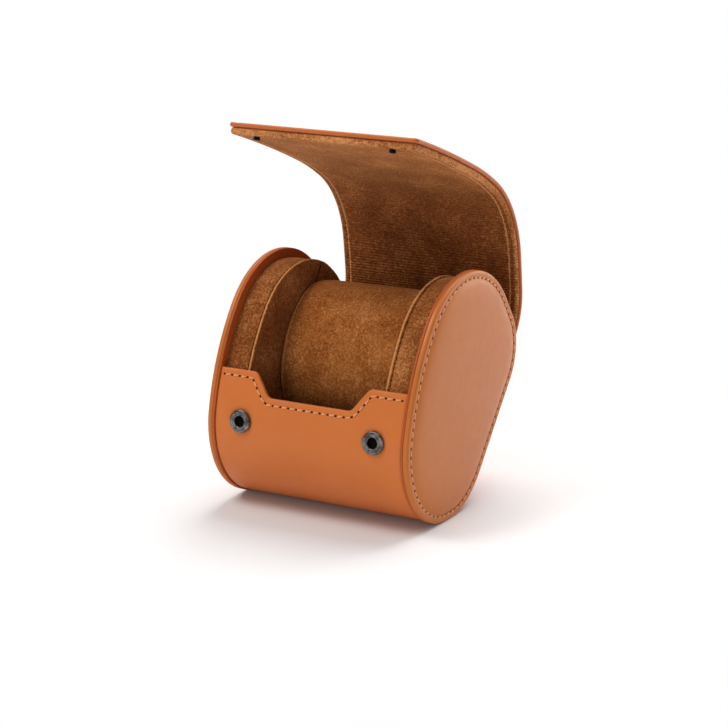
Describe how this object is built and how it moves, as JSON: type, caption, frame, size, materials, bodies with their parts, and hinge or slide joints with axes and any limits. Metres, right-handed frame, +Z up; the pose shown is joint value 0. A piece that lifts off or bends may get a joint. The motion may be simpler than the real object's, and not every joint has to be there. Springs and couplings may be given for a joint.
{
  "type": "watch travel case",
  "caption": "Rounded leather travel case for one wrist watch, with a snap-down lid flap, padded end panels, suede cheek pads and a loose pillow.",
  "frame": {"origin": "centre of the bounding box in X and Y, on the surface that the case stands on", "axes": "+X from the left end panel to the right one, +Y to the back where the lid hinges, +Z up"},
  "size_m": [0.1, 0.113, 0.1633],
  "materials": {
    "leather": "smooth tan",
    "panel_leather": "smooth tan, soft sheen",
    "suede": "napped suede",
    "foam": "soft padding",
    "board": "grey board stiffener",
    "snap_metal": "gunmetal"
  },
  "bodies": {
    "case": {"left_cover": "panel_leather", "right_cover": "panel_leather", "left_padding": "foam", "right_padding": "foam", "left_board": "board", "right_board": "board", "left_facing": "leather", "right_facing": "leather", "left_cheek_core": "foam", "right_cheek_core": "foam", "left_cheek_band": "suede", "right_cheek_band": "suede", "left_cheek_face": "suede", "right_cheek_face": "suede", "wrap_leather": "leather", "wrap_board": "board", "wrap_lining": "suede", "socket_rings": "snap_metal", "socket_barrels": "snap_metal"},
    "lid_1": {"lid_leather_1": "leather"},
    "lid_2": {"lid_leather_2": "leather", "lid_padding_2": "foam", "lid_lining_2": "suede"},
    "lid_3": {"lid_leather_3": "leather", "lid_padding_3": "foam", "lid_lining_3": "suede"},
    "lid_4": {"lid_leather_4": "leather", "lid_padding_4": "foam", "lid_lining_4": "suede"},
    "lid_5": {"lid_leather_5": "leather", "lid_padding_5": "foam", "lid_lining_5": "suede"},
    "lid_6": {"lid_leather_6": "leather", "lid_padding_6": "foam", "lid_lining_6": "suede"},
    "lid_7": {"lid_leather_7": "leather", "lid_padding_7": "foam", "lid_lining_7": "suede", "stud_posts": "snap_metal", "stud_backs": "snap_metal"},
    "pillow": {"pillow_core": "foam", "pillow_cover": "suede", "pillow_left_end": "suede", "pillow_right_end": "suede"}
  },
  "joints": [
    {"name": "lid_hinge", "type": "hinge", "parent": "case", "child": "lid_1", "pos_m": [0, 0.03885, 0.0524], "axis": [1, 0, 0], "range_deg": [0, 24.9]},
    {"name": "lid_fold_2", "type": "hinge", "parent": "lid_1", "child": "lid_2", "pos_m": [0, 0.0478, 0.06317], "axis": [1, 0, 0], "range_deg": [0, 18.4]},
    {"name": "lid_fold_3", "type": "hinge", "parent": "lid_2", "child": "lid_3", "pos_m": [0, 0.05196, 0.10263], "axis": [1, 0, 0], "range_deg": [0, 8.3]},
    {"name": "lid_fold_4", "type": "hinge", "parent": "lid_3", "child": "lid_4", "pos_m": [0, 0.04172, 0.12311], "axis": [1, 0, 0], "range_deg": [0, 2.8]},
    {"name": "lid_fold_5", "type": "hinge", "parent": "lid_4", "child": "lid_5", "pos_m": [0, 0.02312, 0.13692], "axis": [1, 0, 0], "range_deg": [0, 13.8]},
    {"name": "lid_fold_6", "type": "hinge", "parent": "lid_5", "child": "lid_6", "pos_m": [0, 0.00137, 0.14652], "axis": [1, 0, 0], "range_deg": [0, 9]},
    {"name": "lid_tip_press", "type": "hinge", "parent": "lid_6", "child": "lid_7", "pos_m": [0, -0.02108, 0.1548], "axis": [1, 0, 0], "range_deg": [0, 22.1]},
    {"name": "pillow_lift", "type": "slide", "parent": "case", "child": "pillow", "axis": [0, -0.6984, 0.7157], "range_m": [0, 0.01]}
  ],
  "couplings": [
    {"joint": "lid_fold_2", "follows": "lid_hinge", "ratio": 0.73494},
    {"joint": "lid_fold_3", "follows": "lid_hinge", "ratio": 0.32932},
    {"joint": "lid_fold_4", "follows": "lid_hinge", "ratio": 0.10843},
    {"joint": "lid_fold_5", "follows": "lid_hinge", "ratio": 0.5502},
    {"joint": "lid_fold_6", "follows": "lid_hinge", "ratio": 0.35743}
  ]
}
